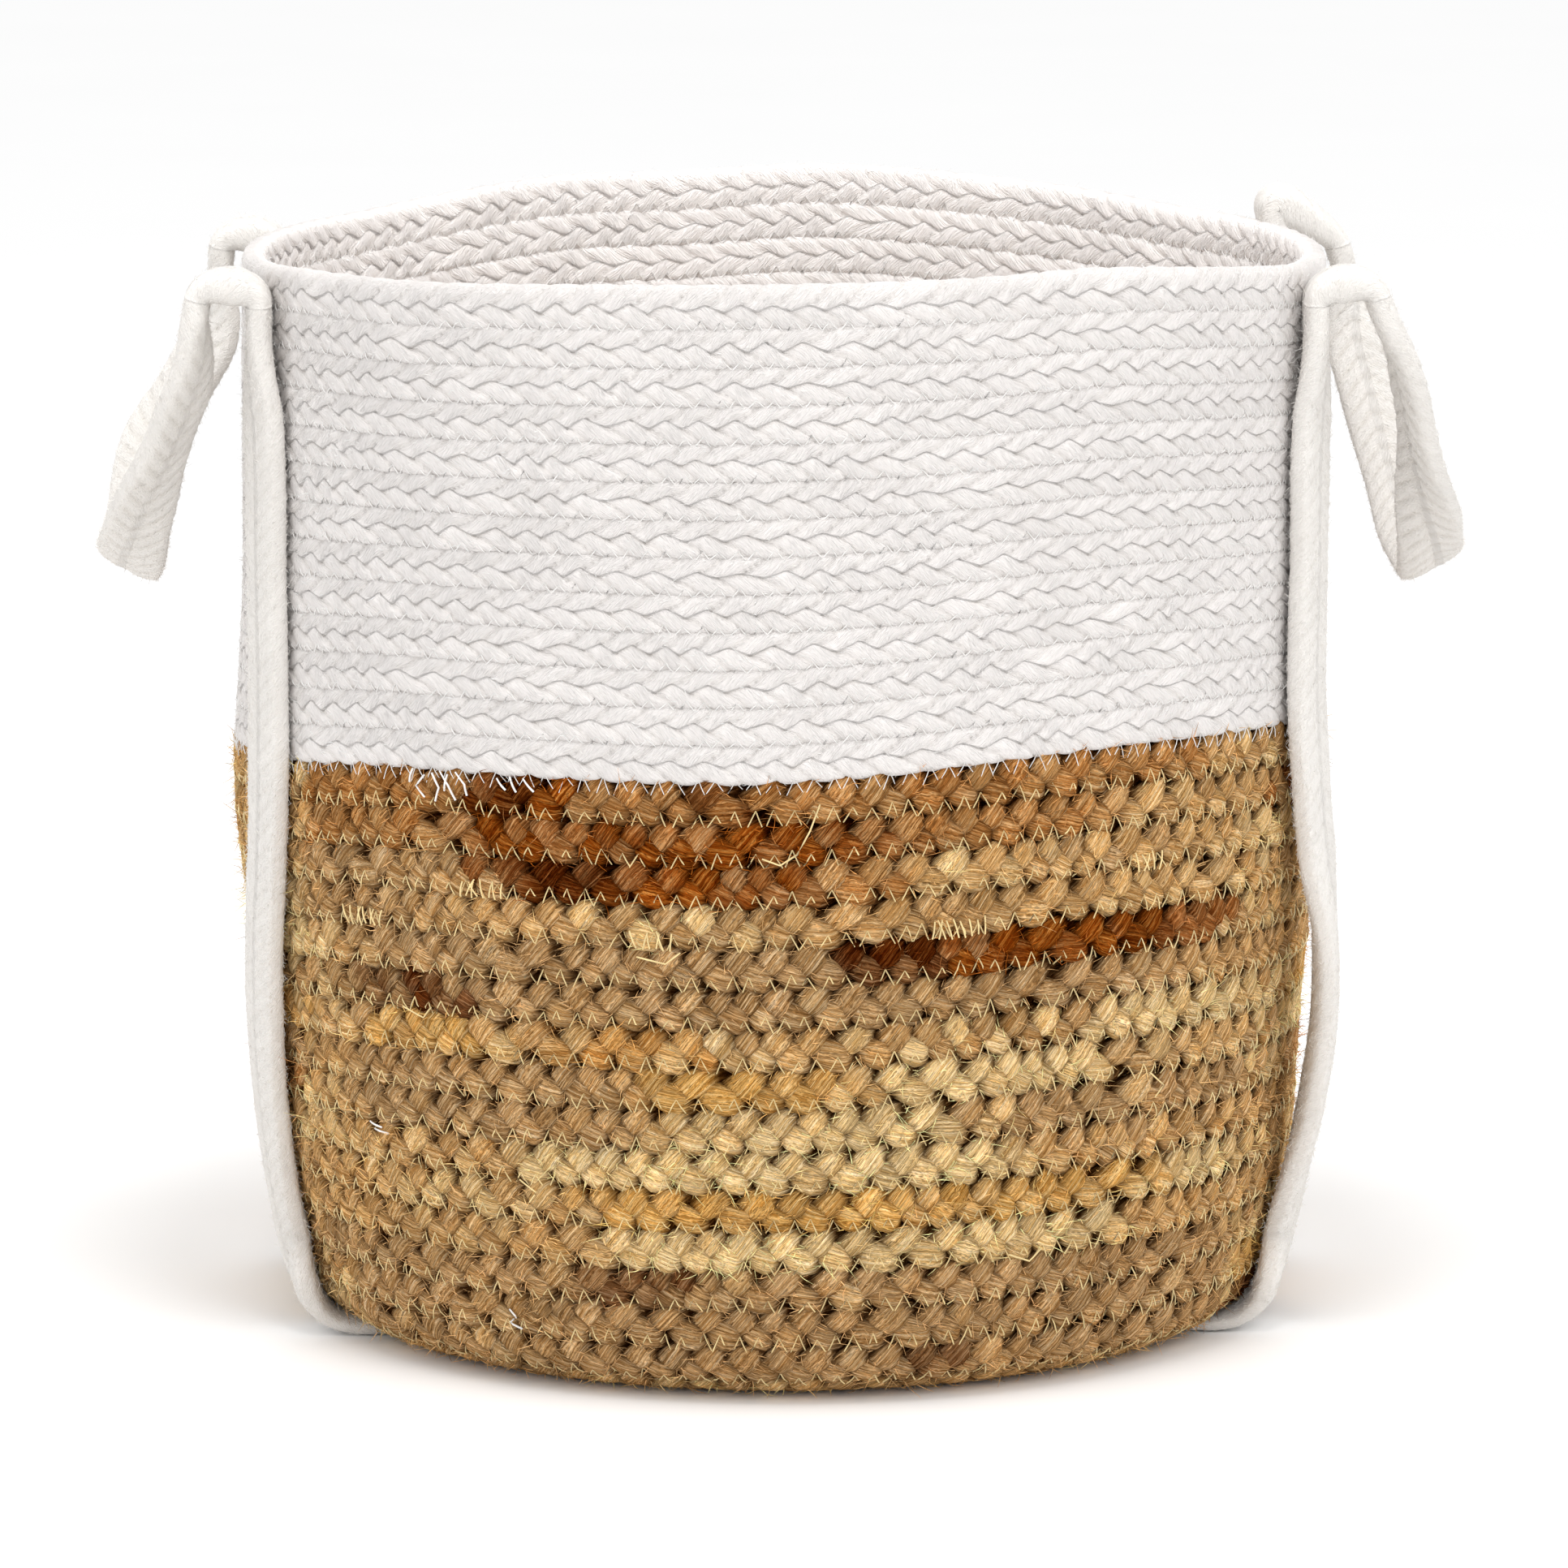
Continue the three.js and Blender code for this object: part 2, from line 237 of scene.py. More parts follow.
def wander(angle, height, seed, size):
    """A smooth unevenness of the soft wall, the same all round for nearby courses."""
    rng = np.random.default_rng(seed)
    total = 0
    for waves in (2, 3, 5, 8):
        phase, lean = rng.uniform(0, 2 * math.pi), rng.uniform(-1, 1) / 60
        total = total + np.sin(waves * angle + phase + lean * height) / waves
    return total * size * smoothstep(height, 0, 60)


def press_on_straps(x, y, z):
    """The base and its edge give way upward where a strap passes under them."""
    beside = 1 - smoothstep(np.abs(np.abs(y) - STRAP_FOOT_Y), STRAP_WIDTH / 2, STRAP_WIDTH / 2 + 4)
    under = beside * (1 - smoothstep(np.abs(x), BASE_RADIUS - 2, BASE_RADIUS + 14))
    return z + (STRAP_PRESSED + 0.5) * under * np.clip(1 - z / SOFT_DEPTH, 0, 1)


def place(angle, length, off):
    """Points at an angle round the basket, a length up its section and a distance out from its middle."""
    radius, height, out_r, out_z = along_section(length)
    radius = radius + off * out_r
    height = height + off * out_z
    top = np.clip(height / WALL_LENGTH, 0, 1)
    radius = radius * (1 + SQUARENESS * top * (1 - np.cos(4 * angle)) / 2)
    slack = smoothstep(height, 20, 90)
    at_bulge = np.exp(-((height - BULGE_HEIGHT) / BULGE_REACH) ** 2)
    at_hollow = np.exp(-((height - HOLLOW_HEIGHT) / BULGE_REACH) ** 2)
    bulge = LEFT_BULGE * at_bulge * np.clip(-np.cos(angle), 0, 1) ** 12
    hollow = RIGHT_HOLLOW * at_hollow * np.clip(np.cos(angle), 0, 1) ** 4
    radius = radius + slack * (bulge - hollow + wander(angle, height, 11, 0.9))
    lifted = height + lift_at(angle, height) + wander(angle, height, 12, 0.5)
    x, y = radius * np.cos(angle), radius * np.sin(angle)
    return np.stack([x, y, press_on_straps(x, y, lifted)], -1)


# ---- meshes

def grid_faces(rings, sides, first=0):
    """Quads over rings of points, each ring with the same number of sides."""
    i = np.arange(rings - 1)[:, None] * sides
    j = np.arange(sides)[None]
    k = (j + 1) % sides
    return np.stack([i + j, i + sides + j, i + sides + k, i + k], -1).reshape(-1, 4) + first


def add_object(name, data):
    made = bpy.data.objects.new(name, data)
    bpy.context.scene.collection.objects.link(made)
    return made


def make_piece(name, points, faces, material, tint=None, fibre=None):
    """A smooth mesh in metres. tint colours its points, and fibre is where each lies in its strand."""
    mesh = bpy.data.meshes.new(name)
    points = np.asarray(points, np.float32).reshape(-1, 3) * 0.001
    corners = np.concatenate([f.reshape(-1) for f in faces]).astype(np.int32)
    totals = np.concatenate([np.full(len(f), f.shape[1]) for f in faces]).astype(np.int32)
    mesh.vertices.add(len(points))
    mesh.vertices.foreach_set("co", points.reshape(-1))
    mesh.loops.add(len(corners))
    mesh.loops.foreach_set("vertex_index", corners)
    mesh.polygons.add(len(totals))
    starts = np.concatenate([[0], np.cumsum(totals)[:-1]]).astype(np.int32)
    mesh.polygons.foreach_set("loop_start", starts)
    mesh.polygons.foreach_set("loop_total", totals)
    mesh.polygons.foreach_set("use_smooth", totals <= 4)
    mesh.update(calc_edges=True)
    if tint is not None:
        colour = np.ones((len(points), 4), np.float32)
        colour[:, :3] = np.reshape(tint, (-1, 3))
        mesh.color_attributes.new("tint", "FLOAT_COLOR", "POINT").data.foreach_set("color", colour.reshape(-1))
    if fibre is not None:
        places = np.asarray(fibre, np.float32).reshape(-1)
        mesh.attributes.new("fibre", "FLOAT_VECTOR", "POINT").data.foreach_set("vector", places)
    mesh.materials.append(material)
    return add_object(name, mesh)


# ---- materials

class Shading:
    """A new material's nodes, with the few kinds of node that the materials here are made of."""

    def __init__(self, name, roughness, sheen=0.0, gloss=0.0):
        self.material = bpy.data.materials.new(name)
        self.material.use_nodes = True
        self.nodes, self.links = self.material.node_tree.nodes, self.material.node_tree.links
        self.shader = self.nodes["Principled BSDF"]
        for setting, value in (("Roughness", roughness), ("Specular IOR Level", gloss), ("Sheen Weight", sheen),
                               ("Sheen Roughness", 0.5)):
            self.shader.inputs[setting].default_value = value

    def node(self, kind, inputs=(), **settings):
        """A node with its settings, and its inputs as numbers or as the outputs that they are linked to."""
        node = self.nodes.new(f"ShaderNode{kind}")
        for setting, value in settings.items():
            setattr(node, setting, value)
        for name, value in dict(inputs).items():
            if isinstance(value, bpy.types.NodeSocket):
                self.links.new(value, node.inputs[name])
            else:
                node.inputs[name].default_value = value
        return node.outputs

    def attribute(self, name, output):
        return self.node("Attribute", attribute_name=name)[output]

    def streaks(self, source, scale, detail):
        """Noise drawn out along the fibres."""
        mapped = self.node("Mapping", {"Vector": source, "Scale": scale})["Vector"]
        noise = self.node("TexNoise", {"Vector": mapped, "Scale": 1.0, "Detail": detail, "Roughness": 0.6})
        return noise["Fac"]

    def ranged(self, noise, low, high):
        """Noise, most of which lies between 0.3 and 0.7, spread from low to high."""
        return self.node("MapRange", {"Value": noise, "From Min": 0.3, "From Max": 0.7, "To Min": low,
                                      "To Max": high})["Result"]

    def math(self, operation, a, b):
        return self.node("Math", {0: a, 1: b}, operation=operation)["Value"]

    def paint(self, colour, brightness):
        scaled = self.node("VectorMath", {0: colour, "Scale": brightness}, operation="SCALE")["Vector"]
        self.links.new(scaled, self.shader.inputs["Base Color"])


def fibre_material(name, roughness, sheen, fine, coarse, contrast, bump_depth):
    """Fabric of parallel fibres. fine and coarse are the streaks' scales per millimetre."""
    s = Shading(name, roughness, sheen)
    where = s.attribute("fibre", "Vector")
    thin, thick = s.streaks(where, fine, 3.0), s.streaks(where, coarse, 2.0)
    shade = s.math("MULTIPLY", s.ranged(thin, 1 - contrast, 1 + contrast),
                   s.ranged(thick, 1 - contrast * 0.3, 1 + contrast * 0.3))
    depth = s.ranged(thick, 1 + contrast * 0.6, 1 - contrast * 0.45)
    s.paint(s.node("Gamma", {"Color": s.attribute("tint", "Color"), "Gamma": depth})["Color"], shade)
    height = s.math("ADD", thin, s.math("MULTIPLY", thick, 1.6))
    bump = s.node("Bump", {"Strength": 0.9, "Distance": bump_depth, "Height": height})["Normal"]
    s.links.new(bump, s.shader.inputs["Normal"])
    return s.material


def speckled_material(name, shine, colour, scale, detail, spread):
    """A colour that varies over the object. Without a colour of its own it has its points' tint."""
    s = Shading(name, *shine)
    noise = s.streaks(s.node("TexCoord")["Object"], (scale, scale, scale), detail)
    s.paint(s.attribute("tint", "Color") if colour is None else colour, s.ranged(noise, 1 - spread, 1 + spread))
    return s.material


HAIR_SHINE = (0.8,)
THREAD_SHINE = (0.6, 0.1, 0.15)
JUTE_FABRIC = fibre_material("jute_fibres", 0.8, 0.0, (0.08, 4.6, 4.6), (0.05, 1.5, 1.5), 0.72, 0.0012)
COTTON_FABRIC = fibre_material("cotton_yarn", 0.95, 0.2, (0.25, 3.2, 3.2), (0.12, 1.4, 1.4), 0.06, 0.0008)
STRAP_FABRIC = fibre_material("strap_yarn", 0.95, 0.2, (0.3, 3.0, 3.0), (0.15, 1.3, 1.3), 0.05, 0.0006)
YELLOW_THREAD = speckled_material("yellow_thread", THREAD_SHINE, srgb(240, 216, 158), 160, 1.0, 0.15)
WHITE_THREAD = speckled_material("white_thread", THREAD_SHINE, srgb(244, 242, 239), 160, 1.0, 0.04)
JUTE_HAIR = speckled_material("jute_hair", HAIR_SHINE, None, 300, 1.0, 0.5)
COTTON_HAIR = speckled_material("cotton_hair", HAIR_SHINE, None, 300, 1.0, 0.08)

# ---- colours

TAN = srgb(211, 166, 109)
CREAM = srgb(237, 203, 146)
GREY_BROWN = srgb(190, 151, 104)
RUST = srgb(147, 79, 24)
DARK_RUST = srgb(94, 44, 12)
LIGHT_RUST = srgb(182, 128, 74)
AMBER = srgb(206, 143, 66)
GOLD = srgb(220, 170, 98)
WHITE = srgb(248, 243, 240)
STRAP_WHITE = srgb(243, 239, 234)
# Painted shade: the colour the jute takes in its deep gaps between strands, where shade falls.
CREVICE_SHADE = srgb(74, 44, 18)

# Stretches of jute of another colour: the colour, the jute course counted from the top, the courses
# covered, and the two angles between which it lies, in degrees from the front towards the right.
PATCHES = [
    (LIGHT_RUST, 1, 1.0, -22, 48), (LIGHT_RUST, 1.5, 1.4, -62, -37), (LIGHT_RUST, 2, 1.0, 10, 34),
    (LIGHT_RUST, 3, 1.0, 3, 11), (RUST, 1, 0.9, -36, -22), (RUST, 2, 1.0, -37, 10), (RUST, 3, 0.9, -33, 3),
    (DARK_RUST, 3, 0.7, -32, -17), (DARK_RUST, 1, 0.5, -34, -29), (DARK_RUST, 1.2, 0.5, -9, -5),
    (GREY_BROWN, 3.5, 1.5, -62, -40), (GREY_BROWN, 5.5, 1.6, -55, 50), (RUST, 5, 0.9, 14, 53),
    (DARK_RUST, 5, 0.7, 6, 15), (DARK_RUST, 4.6, 0.5, 36, 41), (DARK_RUST, 5.8, 0.4, -51, -48),
    (DARK_RUST, 6.2, 0.5, -43, -37), (DARK_RUST, 6.5, 0.4, -27, -21), (DARK_RUST, 6.5, 0.4, -6, -2),
    (GOLD, 7, 0.8, -47, -34), (AMBER, 7.4, 0.6, -25, -10), (GOLD, 8, 0.7, -16, 6), (CREAM, 7.3, 1.0, 33, 58),
    (CREAM, 8, 1.0, 8, 34), (GREY_BROWN, 8.5, 1.2, -55, -18), (CREAM, 9, 1.0, -10, 20),
    (GREY_BROWN, 9, 1.2, 26, 58), (CREAM, 10, 1.0, -30, 26), (GOLD, 11, 0.7, -22, 14), (GOLD, 11, 0.9, 17, 42),
    (CREAM, 11, 1.0, 42, 60), (CREAM, 12, 1.0, -20, 38), (GREY_BROWN, 13, 0.9, -60, 58),
    (DARK_RUST, 13, 0.4, -21, -18), (DARK_RUST, 13, 0.4, -17, -13), (GREY_BROWN, 14.5, 1.4, -60, 60),
    (DARK_RUST, 15, 0.3, 15, 18),
]


def scattered_patches():
    """More of the same on the sides and the back."""
    rng = np.random.default_rng(5)
    colours = [RUST, GOLD, CREAM, GREY_BROWN, DARK_RUST]
    found = []
    for _ in range(70):
        start = rng.uniform(62, 280)
        kind = rng.choice(5, p=[0.2, 0.22, 0.26, 0.26, 0.06])
        row, rows = rng.uniform(1, 16), rng.uniform(0.6, 1.3)
        found.append((colours[kind], row, rows, start, start + rng.uniform(10, 46)))
    return found


ALL_PATCHES = PATCHES + scattered_patches()


def plain_jute(mood, cream, grey):
    """Tan that goes some way to cream where the mood is above 0 and to grey-brown where it is below."""
    light, dull = np.clip(mood, 0, 1)[:, None], np.clip(-mood, 0, 1)[:, None]
    return TAN + (CREAM - TAN) * light * cream + (GREY_BROWN - TAN) * dull * grey


def jute_tint(angle, course, strand, turn):
    """The colour along one strand of a jute course, where the course counts from 1 at the bottom."""
    seed = 100 * course + strand
    tone = plain_jute(loop_noise(turn, 14, seed), 0.8, 0.9)
    from_front = np.degrees(angle - FRONT) % 360
    from_front = np.where(from_front > 300, from_front - 360, from_front)
    row = JUTE_COURSES + 1 - course
    for colour, middle, spread, start, end in ALL_PATCHES:
        near = 1 - smoothstep(abs(row - middle), spread * 0.4, spread * 0.4 + 0.4)
        if near <= 0:
            continue
        ragged = from_front + 4 * loop_noise(turn, 60, seed + 7)
        inside = smoothstep(ragged, start - 3, start + 3) * (1 - smoothstep(ragged, end - 3, end + 3))
        uneven = np.clip(0.92 + 0.35 * loop_noise(turn, 90, seed + 9), 0, 1)
        tone = tone + (colour - tone) * (near * inside * uneven)[:, None]
    return tone * (1.0 + 0.2 * loop_noise(turn, 93, seed + 3))[:, None]


def cotton_tint(angle, course, strand, turn):
    seed = 5000 + 100 * course + strand
    return WHITE * (1 + 0.025 * loop_noise(turn, 40, seed))[:, None]


# ---- braided courses

def strand_path(turn, periods, strand, phase, braid):
    """The swing, and the way across and out, of one strand of a flat braid."""
    swing = 2 * math.pi * (periods * turn + strand / 3) + phase
    across = braid["swing"] * (np.sin(swing) - 0.11 * np.sin(3 * swing))
    return swing, across, braid["cross"] * np.sin(2 * swing)


def full_section(turn, fullness):
    """A section fuller than an ellipse: the smaller the powers, the squarer."""
    c, s = np.cos(turn), np.sin(turn)
    return np.sign(c) * np.abs(c) ** fullness[0], np.sign(s) * np.abs(s) ** fullness[1]


def pressed(x, limit, zone):
    """Lets x pass up to a zone short of the limit, and then flattens it against the limit."""
    size = np.abs(x)
    over = np.clip(size - (limit - zone), 0, None)
    return np.sign(x) * (np.minimum(size, limit - zone) + zone * np.tanh(over / zone))


# Both kinds of ring give lists of point grids, tints, fibre places, distances out of the wall's middle, and
# the tints without the painted shade but with the cotton's painted inside light. middle is the ring's length up
# the section.

def braided_ring(middle, braid, course, tint_of, dark, pitch):
    """A closed ring of three-strand braid."""
    reach = reach_at(middle)
    periods = max(3, round(reach / braid["period"]))
    turn = np.linspace(0, 1, periods * braid["samples"] + 1)
    sides = round_turn(braid["sides"])
    phase = np.random.default_rng(900 + course).uniform(0, 2 * math.pi)
    stretch = turn + 0.2 / periods * loop_noise(turn, periods, 37 * course)
    points, tints, fibres, outs, tones = [], [], [], [], []
    for strand in range(3):
        seed = 37 * course + 11 * strand
        swing, across, out = strand_path(stretch, periods, strand, phase, braid)
        line = np.stack([turn * reach, across, out], -1)
        forward = unit(np.gradient(line, axis=0))
        forward[0] = forward[-1] = unit(forward[0] + forward[-1])
        side = unit(np.cross([0.0, 0.0, 1.0], forward))
        normal = np.cross(forward, side)
        plump = 1 + 0.12 * np.sin(2 * swing) + 0.16 * loop_noise(turn, periods * 3, seed + 2)
        wide = (braid["width"] * plump)[:, None]
        thick = (braid["depth"] * plump)[:, None]
        c, s = full_section(sides[None], braid["fullness"])
        lumps = 1 + 0.05 * np.cos(3 * sides[None] + 0.35 * line[:, :1])
        flat = line[:, None] + (side[:, None] * (wide * c * lumps)[..., None]
                                + normal[:, None] * (thick * s * lumps)[..., None])
        flat[..., 1] = pressed(flat[..., 1], pitch / 2 + braid["lap"], braid["edge"])
        flat[..., 2] = pressed(flat[..., 2], braid["crown"], braid["yield"])
        along, up, out = np.moveaxis(flat, -1, 0)
        points.append(place(along / reach * 2 * math.pi, middle + up, out))
        outs.append(out)
        tones.append(tint_of(turn * 2 * math.pi, course, strand, turn)[:, None])
        # Painted shade: each strand darkens towards the crevice colour where it lies deep in the braid, out of
        # the light.
        painted_shade = (1 - smoothstep(np.abs(out), *braid["crevice"]))[..., None]
        tints.append(shaded(tones[-1], dark, painted_shade))
        twist = sides[None] + 0.10 * line[:, :1]
        start = np.broadcast_to(line[:, :1] + 53.0 * strand + 211.0 * course, twist.shape)
        fibres.append(np.stack([start, wide * np.cos(twist), thick * np.sin(twist)], -1))
    return points, tints, fibres, outs, tones


def leafy_ring(middle, braid, course, tint_of, dark, pitch):
    """A closed ring of soft braid sewn flat: on each face two lines of slanting leaves meet in a zigzag."""
    reach = reach_at(middle)
    count = round(reach / braid["length"])
    length = reach / count
    seed = 37 * course
    turn = np.linspace(0, 1, count * braid["samples"] + 1)
    columns = np.array(braid["columns"])
    face = np.concatenate([columns[:0:-1], -columns])
    x = np.concatenate([[1], face, [-1], -face])[None]
    side = np.concatenate([[0], np.ones(len(face)), [0], -np.ones(len(face))])[None]
    half = pitch / 2 + braid["lap"]
    along = (turn * reach + braid["stretch"] * length * loop_noise(turn, count // 2, seed))[:, None]
    upper = x > 0
    phase = (along - braid["slope"] * half * np.abs(x)) / length + 0.5 * upper
    leaf, in_leaf = np.floor(phase) % count, fraction(phase)
    rough = scattered(leaf * 12.9898 + 78.233 * upper + 7.7 * side + course) - 0.5
    rim = np.abs(2 * in_leaf - 1)  # 0 along the middle of a leaf and 1 where it meets the next
    centre = np.exp(-((half * x / braid["centre_width"]) ** 2))
    relief = braid["rough"] * rough + braid["tilt"] * (in_leaf - 0.5)
    relief = relief - braid["groove"] * rim**5 - braid["centre"] * centre
    uneven = 1 + 0.5 * loop_noise(turn, count, seed + 5)[:, None]
    zigzag = np.arcsin(0.97 * np.cos(2 * math.pi * along / length))
    across = half * x * (1 - 0.06 * rim**3) - braid["zigzag"] * uneven * zigzag * (1 - np.abs(x))
    out = side * (1 - np.abs(x) ** braid["square"]) ** 0.35 * (braid["crown"] + relief)
    angle = np.broadcast_to(2 * math.pi * turn[:, None], out.shape)
    # Painted light: the inside face is made lighter, standing in for light that it lacks. The small random part
    # is the leaves' own tone.
    light = (1 + braid["inner_painted_light"] * (side < 0) + 0.03 * rough)[..., None]
    tone = tint_of(turn * 2 * math.pi, course, 0, turn)[:, None] * light
    # Painted shade in the grooves where leaves meet and along the zigzag in the middle of each face, broken up
    # along its length.
    broken = np.clip(0.3 + loop_noise(turn, 2 * count, seed + 9), 0, 1)[:, None]
    painted_shade = np.clip(0.5 * rim**6 + 0.7 * centre * broken, 0, 1)[..., None]
    lean = (along * braid["slope"] + half * np.abs(x)) / math.hypot(1, braid["slope"]) + 211.0 * course
    fibre = np.stack([lean, phase * length, out], -1)
    return [place(angle, middle + across, out)], [shaded(tone, dark, painted_shade)], [fibre], [out], [tone]


def faces_of(blocks):
    """Quads for a list of point grids that follow each other in one mesh."""
    faces, first = [], 0
    for block in blocks:
        faces.append(grid_faces(block.shape[0], block.shape[1], first=first))
        first += block.shape[0] * block.shape[1]
    return faces


def flatten(blocks):
    return np.concatenate([b.reshape(-1, 3) for b in blocks])


def course_piece(name, node, kind, middles, braid, first_course, tint_of, pitch):
    """One piece for a CAD course, or for the base with all its turns."""
    ring, material, dark = {"jute": (braided_ring, JUTE_FABRIC, JUTE_SHADE),
                            "cotton": (leafy_ring, COTTON_FABRIC, COTTON_SHADE)}[kind]
    rings = [ring(middle, braid, first_course + i, tint_of, dark, pitch) for i, middle in enumerate(middles)]
    points, tints, fibres, outs, tones = (sum(column, []) for column in zip(*rings))
    piece = make_piece(name, flatten(points), faces_of(points), material, flatten(tints), flatten(fibres))
    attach(piece, "basket")
    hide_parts(node)
    return points, outs, tones


def base_tint(angle, course, strand, turn):
    return plain_jute(loop_noise(turn, 9, 7000 + 10 * course + strand), 0.7, 0.8)


# Painted shade: the factors by which the braids' tints darken in their grooves and gaps.
JUTE_SHADE = CREVICE_SHADE / TAN
COTTON_SHADE = np.array([0.88, 0.86, 0.83])


def courses():
    """All the courses from the bottom up: the middle, the pitch, and what course_piece gives."""
    built = []
    for kind, count, pitch, start, braid, tint_of in (
            ("jute", JUTE_COURSES, JUTE_PITCH, 0, JUTE, jute_tint),
            ("cotton", COTTON_COURSES, COTTON_PITCH, JUTE_COURSES * JUTE_PITCH, COTTON, cotton_tint)):
        for i in range(1, count + 1):
            middle = start + (i - 0.5) * pitch
            own = RIM_COURSE if kind == "cotton" and i == count else braid
            made = course_piece(f"{kind}_braid_{i:02d}", f"{kind}_course_{i:02d}", kind, [middle], own, i,
                                tint_of, pitch)
            built.append((middle, pitch, *made))
    return built


def base():
    turn = (BASE_RADIUS - 0.8) / BASE_TURNS
    middles = [-(i + 0.5) * turn for i in range(BASE_TURNS)]
    coarse = dict(JUTE, samples=16, sides=9)
    course_piece("jute_base_coil", "base_coil", "jute", middles, coarse, 40, base_tint, turn)


# ---- sewing

def tubes(lines, radius, sides):
    """Thin closed tubes along many short lines of points, each with the same number of points."""
    lines = np.asarray(lines, float)
    count, length = lines.shape[:2]
    forward = unit(np.gradient(lines, axis=1))
    helper = np.where(np.abs(forward[..., 2:]) > 0.8, [1.0, 0.0, 0.0], [0.0, 0.0, 1.0])
    a = unit(np.cross(forward, helper))
    b = np.cross(forward, a)
    turn = round_turn(sides)
    radius = np.broadcast_to(np.asarray(radius, float), (count, length))[..., None, None]
    round_it = a[:, :, None] * np.cos(turn)[:, None] + b[:, :, None] * np.sin(turn)[:, None]
    rings = lines[:, :, None] + radius * round_it
    first = np.arange(count)[:, None, None] * length * sides
    quads = (grid_faces(length, sides)[None] + first).reshape(-1, 4)
    cap = np.arange(sides)[::-1][None, None] + first
    end = np.arange(sides)[None, None] + (length - 1) * sides + first
    return rings.reshape(-1, 3), [quads, cap.reshape(-1, sides), end.reshape(-1, sides)]


def surface_finder(points):
    """A search tree over one course's strands, in millimetres."""
    faces = np.concatenate(faces_of(points))
    return BVHTree.FromPolygons(flatten(points).tolist(), faces.tolist())


CLEAR_OF_WALL = 9.0  # a distance from the wall's middle at which there is nothing
MISSED_OUT = 2.5  # where a thread lies when it finds no strand under it


def cast(tree, angle, length, sign):
    """How far out of the wall's middle the surface is, seen from one side of the wall."""
    far = place(angle, length, np.full_like(angle, CLEAR_OF_WALL * sign))
    near = place(angle, length, np.zeros_like(angle))
    found = np.full(len(angle), MISSED_OUT)
    for i, (a, b) in enumerate(zip(far, near)):
        hit = tree.ray_cast(Vector(a), Vector(b - a))
        if hit[0] is not None:
            found[i] = CLEAR_OF_WALL - min(hit[3], CLEAR_OF_WALL)
    return found


def zigzag(lower, upper, boundary, reach_down, reach_up, spacing, sign, seed):
    """Upright Vs of thread from one course over the edge of the next: two short lines of points each."""
    rng = np.random.default_rng(seed)
    count = round(reach_at(boundary) / spacing)
    step = 2 * math.pi / count
    apex = (np.arange(count) + rng.uniform(-0.12, 0.12, count)) * step
    apex_length = boundary + reach_up * rng.uniform(0.75, 1.2, count)
    apex_off = cast(upper, apex, apex_length, sign)
    legs = []
    for way in (-1, 1):
        foot = apex + way * step * rng.uniform(0.3, 0.46, count)
        foot_length = boundary - reach_down * rng.uniform(0.5, 1.2, count)
        foot_off = cast(lower, foot, foot_length, sign)
        between, between_length = (apex + foot) / 2, (apex_length + foot_length) / 2
        between_off = cast(upper, between, between_length, sign)
        between_off = np.maximum(between_off, (apex_off + foot_off) / 2) + 0.3
        legs.append(np.stack([place(apex, apex_length, sign * (apex_off - 0.1)),
                              place(between, between_length, sign * between_off),
                              place(foot, foot_length, sign * foot_off)], 1))
    return np.concatenate(legs)


# A stitch's reach down and up from the boundary between two courses, and the distance between stitches.
STITCHES = {"jute": (0.7, 4.6, 6.6), "join": (4.2, 1.5, 6.6), "cotton": (0.6, 2.6, 6.2)}
THREADS = {"jute": (YELLOW_THREAD, 0.30), "cotton": (WHITE_THREAD, 0.22)}


def thread_piece(name, lines, radius, sides, material):
    thread = make_piece(name, *tubes(lines, radius, sides), material)
    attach(thread, "basket")


def sewing(built):
    """The zigzag between every two courses, on the outside and on the inside of the wall."""
    trees = [surface_finder(course[2]) for course in built]
    for place_name, sign in (("outside", 1.0), ("inside", -1.0)):
        groups = {"jute": [], "cotton": []}
        for i in range(len(built) - 1):
            middle, pitch = built[i][:2]
            kind = "jute" if i + 1 < JUTE_COURSES else "cotton"
            stitch = STITCHES["join" if i + 1 == JUTE_COURSES else kind]
            groups[kind].append(zigzag(trees[i], trees[i + 1], middle + pitch / 2, *stitch, sign, 300 + i))
        for kind, lines in groups.items():
            material, radius = THREADS[kind]
            thread_piece(f"{kind}_zigzag_{place_name}", np.concatenate(lines), radius, 3, material)


# Loose ends of thread on the front: points of degrees from the front and length up the wall.
YELLOW_ENDS = [
    [(2.6, 224), (1.6, 215), (0.3, 207), (-1.4, 203.5), (-3.2, 206)],
    [(-16, 171), (-13, 169), (-11.5, 173)], [(41, 117), (43, 112), (42, 108)],
    [(-44, 146), (-41, 143), (-40, 147)], [(24, 60), (26.5, 57), (28, 61)], [(-30, 88), (-28, 84), (-29, 80)],
]
WHITE_ENDS = [
    [(-39, 231), (-38, 226), (-38.6, 221)], [(-38, 232), (-36.8, 227), (-36, 222)], [(-37, 231), (-37.4, 225)],
    [(-40, 230), (-41, 226), (-40, 222)], [(-36, 232), (-34.8, 228), (-34.6, 224)], [(-41.5, 232), (-42, 227)],
    [(-50.5, 101), (-48.6, 99.5)], [(-49.8, 98.6), (-47.6, 97.6)],
    [(-33, 38), (-32, 35), (-33, 32.5), (-31.5, 31)], [(-31, 231), (-30, 227)],
    [(-29.5, 232), (-28.8, 226.5)], [(-28, 231.5), (-26.8, 227)],
]
END_POINTS = 9
END_OFF = 5.3  # how far out of the wall's middle the ends lie
# Places where the zigzag was sewn over twice: degrees from and to, and length up the wall.
DOUBLE_SEWN = [(14, 20, 174), (-16, -12, 174.5), (-35.5, -30.5, 189), (38, 41.5, 188.5), (-52, -47, 175)]


